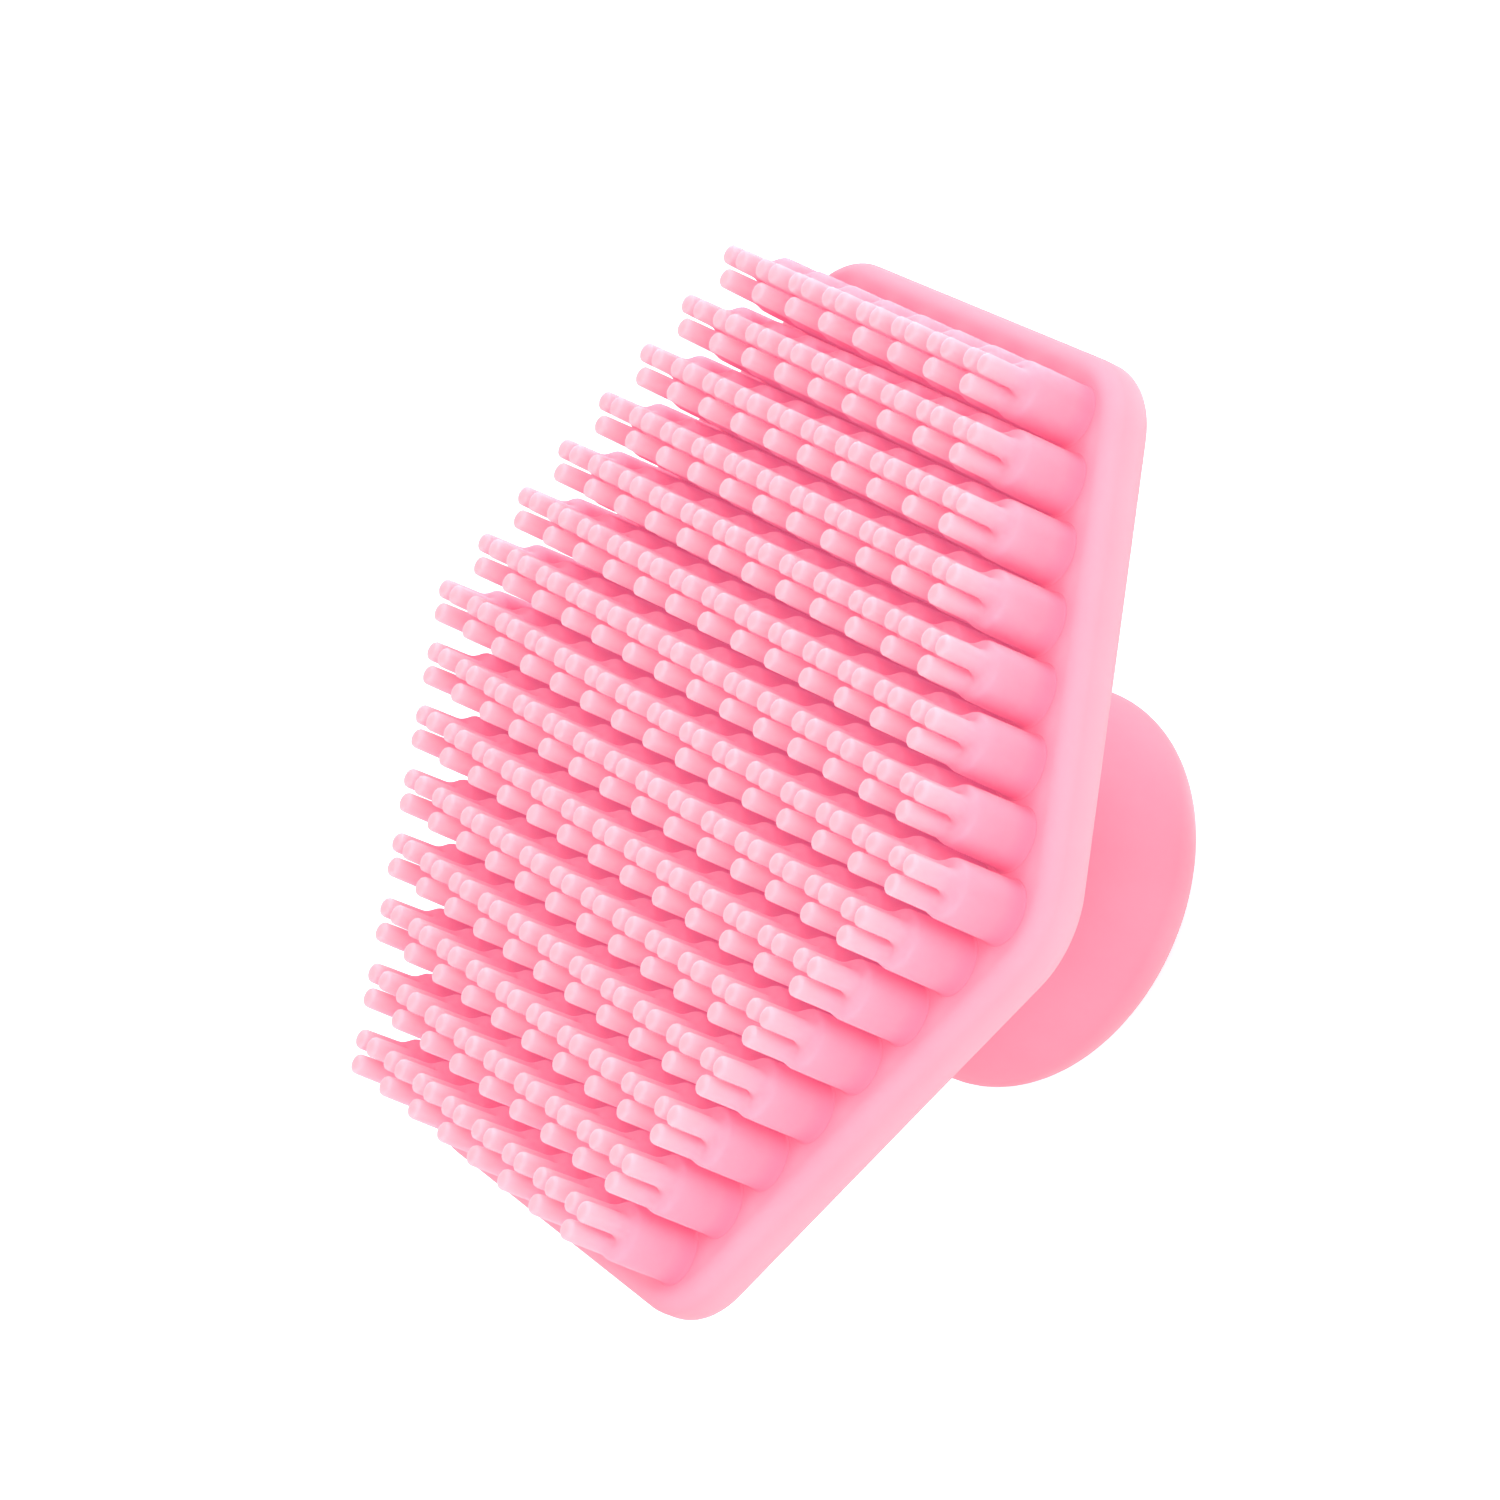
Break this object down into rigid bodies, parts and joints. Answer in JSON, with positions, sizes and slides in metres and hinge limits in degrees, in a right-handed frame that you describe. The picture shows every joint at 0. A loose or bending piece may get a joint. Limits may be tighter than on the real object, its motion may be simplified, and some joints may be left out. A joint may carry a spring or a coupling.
{
  "type": "scalp massager brush",
  "caption": "Hand-held silicone scalp massager: a rounded hexagonal plate with rows of three-tined bristles on one face and a mushroom grip knob on the other.",
  "frame": {"origin": "centre of the flat on the knob's crown, on which the brush stands with its bristles up", "axes": "+Z along the knob's axis towards the bristle tips; +X along the rows of bristles, corner to corner of the plate; +Y across the rows, towards row 1, flat to flat of the plate"},
  "size_m": [0.0728, 0.065, 0.0374],
  "materials": {
    "bristle_silicone": "satin pink silicone",
    "plate_silicone": "satin pink silicone",
    "knob_silicone": "satin pink silicone"
  },
  "bodies": {
    "handle": {"backing_plate": "plate_silicone", "knob_neck": "knob_silicone", "grip_knob": "knob_silicone"},
    "row_01": {"bristle_row_01": "bristle_silicone"},
    "row_02": {"bristle_row_02": "bristle_silicone"},
    "row_03": {"bristle_row_03": "bristle_silicone"},
    "row_04": {"bristle_row_04": "bristle_silicone"},
    "row_05": {"bristle_row_05": "bristle_silicone"},
    "row_06": {"bristle_row_06": "bristle_silicone"},
    "row_07": {"bristle_row_07": "bristle_silicone"},
    "row_08": {"bristle_row_08": "bristle_silicone"},
    "row_09": {"bristle_row_09": "bristle_silicone"},
    "row_10": {"bristle_row_10": "bristle_silicone"},
    "row_11": {"bristle_row_11": "bristle_silicone"},
    "row_12": {"bristle_row_12": "bristle_silicone"},
    "row_13": {"bristle_row_13": "bristle_silicone"},
    "row_14": {"bristle_row_14": "bristle_silicone"},
    "row_15": {"bristle_row_15": "bristle_silicone"}
  },
  "joints": [
    {"name": "row_01_lean", "type": "hinge", "parent": "handle", "child": "row_01", "pos_m": [0, 0.02849, 0.0293], "axis": [1, 0, 0], "range_deg": [-15, 15], "stiffness_Nm_per_rad": 0.002},
    {"name": "row_02_lean", "type": "hinge", "parent": "handle", "child": "row_02", "pos_m": [0, 0.02442, 0.0293], "axis": [1, 0, 0], "range_deg": [-15, 15], "stiffness_Nm_per_rad": 0.002},
    {"name": "row_03_lean", "type": "hinge", "parent": "handle", "child": "row_03", "pos_m": [0, 0.02035, 0.0293], "axis": [1, 0, 0], "range_deg": [-15, 15], "stiffness_Nm_per_rad": 0.002},
    {"name": "row_04_lean", "type": "hinge", "parent": "handle", "child": "row_04", "pos_m": [0, 0.01628, 0.0293], "axis": [1, 0, 0], "range_deg": [-15, 15], "stiffness_Nm_per_rad": 0.002},
    {"name": "row_05_lean", "type": "hinge", "parent": "handle", "child": "row_05", "pos_m": [0, 0.01221, 0.0293], "axis": [1, 0, 0], "range_deg": [-15, 15], "stiffness_Nm_per_rad": 0.002},
    {"name": "row_06_lean", "type": "hinge", "parent": "handle", "child": "row_06", "pos_m": [0, 0.00814, 0.0293], "axis": [1, 0, 0], "range_deg": [-15, 15], "stiffness_Nm_per_rad": 0.002},
    {"name": "row_07_lean", "type": "hinge", "parent": "handle", "child": "row_07", "pos_m": [0, 0.00407, 0.0293], "axis": [1, 0, 0], "range_deg": [-15, 15], "stiffness_Nm_per_rad": 0.002},
    {"name": "row_08_lean", "type": "hinge", "parent": "handle", "child": "row_08", "pos_m": [0, 0, 0.0293], "axis": [1, 0, 0], "range_deg": [-15, 15], "stiffness_Nm_per_rad": 0.002},
    {"name": "row_09_lean", "type": "hinge", "parent": "handle", "child": "row_09", "pos_m": [0, -0.00407, 0.0293], "axis": [1, 0, 0], "range_deg": [-15, 15], "stiffness_Nm_per_rad": 0.002},
    {"name": "row_10_lean", "type": "hinge", "parent": "handle", "child": "row_10", "pos_m": [0, -0.00814, 0.0293], "axis": [1, 0, 0], "range_deg": [-15, 15], "stiffness_Nm_per_rad": 0.002},
    {"name": "row_11_lean", "type": "hinge", "parent": "handle", "child": "row_11", "pos_m": [0, -0.01221, 0.0293], "axis": [1, 0, 0], "range_deg": [-15, 15], "stiffness_Nm_per_rad": 0.002},
    {"name": "row_12_lean", "type": "hinge", "parent": "handle", "child": "row_12", "pos_m": [0, -0.01628, 0.0293], "axis": [1, 0, 0], "range_deg": [-15, 15], "stiffness_Nm_per_rad": 0.002},
    {"name": "row_13_lean", "type": "hinge", "parent": "handle", "child": "row_13", "pos_m": [0, -0.02035, 0.0293], "axis": [1, 0, 0], "range_deg": [-15, 15], "stiffness_Nm_per_rad": 0.002},
    {"name": "row_14_lean", "type": "hinge", "parent": "handle", "child": "row_14", "pos_m": [0, -0.02442, 0.0293], "axis": [1, 0, 0], "range_deg": [-15, 15], "stiffness_Nm_per_rad": 0.002},
    {"name": "row_15_lean", "type": "hinge", "parent": "handle", "child": "row_15", "pos_m": [0, -0.02849, 0.0293], "axis": [1, 0, 0], "range_deg": [-15, 15], "stiffness_Nm_per_rad": 0.002}
  ],
  "couplings": [
    {"joint": "row_01_lean", "follows": "row_08_lean", "ratio": 1},
    {"joint": "row_02_lean", "follows": "row_08_lean", "ratio": 1},
    {"joint": "row_03_lean", "follows": "row_08_lean", "ratio": 1},
    {"joint": "row_04_lean", "follows": "row_08_lean", "ratio": 1},
    {"joint": "row_05_lean", "follows": "row_08_lean", "ratio": 1},
    {"joint": "row_06_lean", "follows": "row_08_lean", "ratio": 1},
    {"joint": "row_07_lean", "follows": "row_08_lean", "ratio": 1},
    {"joint": "row_09_lean", "follows": "row_08_lean", "ratio": 1},
    {"joint": "row_10_lean", "follows": "row_08_lean", "ratio": 1},
    {"joint": "row_11_lean", "follows": "row_08_lean", "ratio": 1},
    {"joint": "row_12_lean", "follows": "row_08_lean", "ratio": 1},
    {"joint": "row_13_lean", "follows": "row_08_lean", "ratio": 1},
    {"joint": "row_14_lean", "follows": "row_08_lean", "ratio": 1},
    {"joint": "row_15_lean", "follows": "row_08_lean", "ratio": 1}
  ]
}
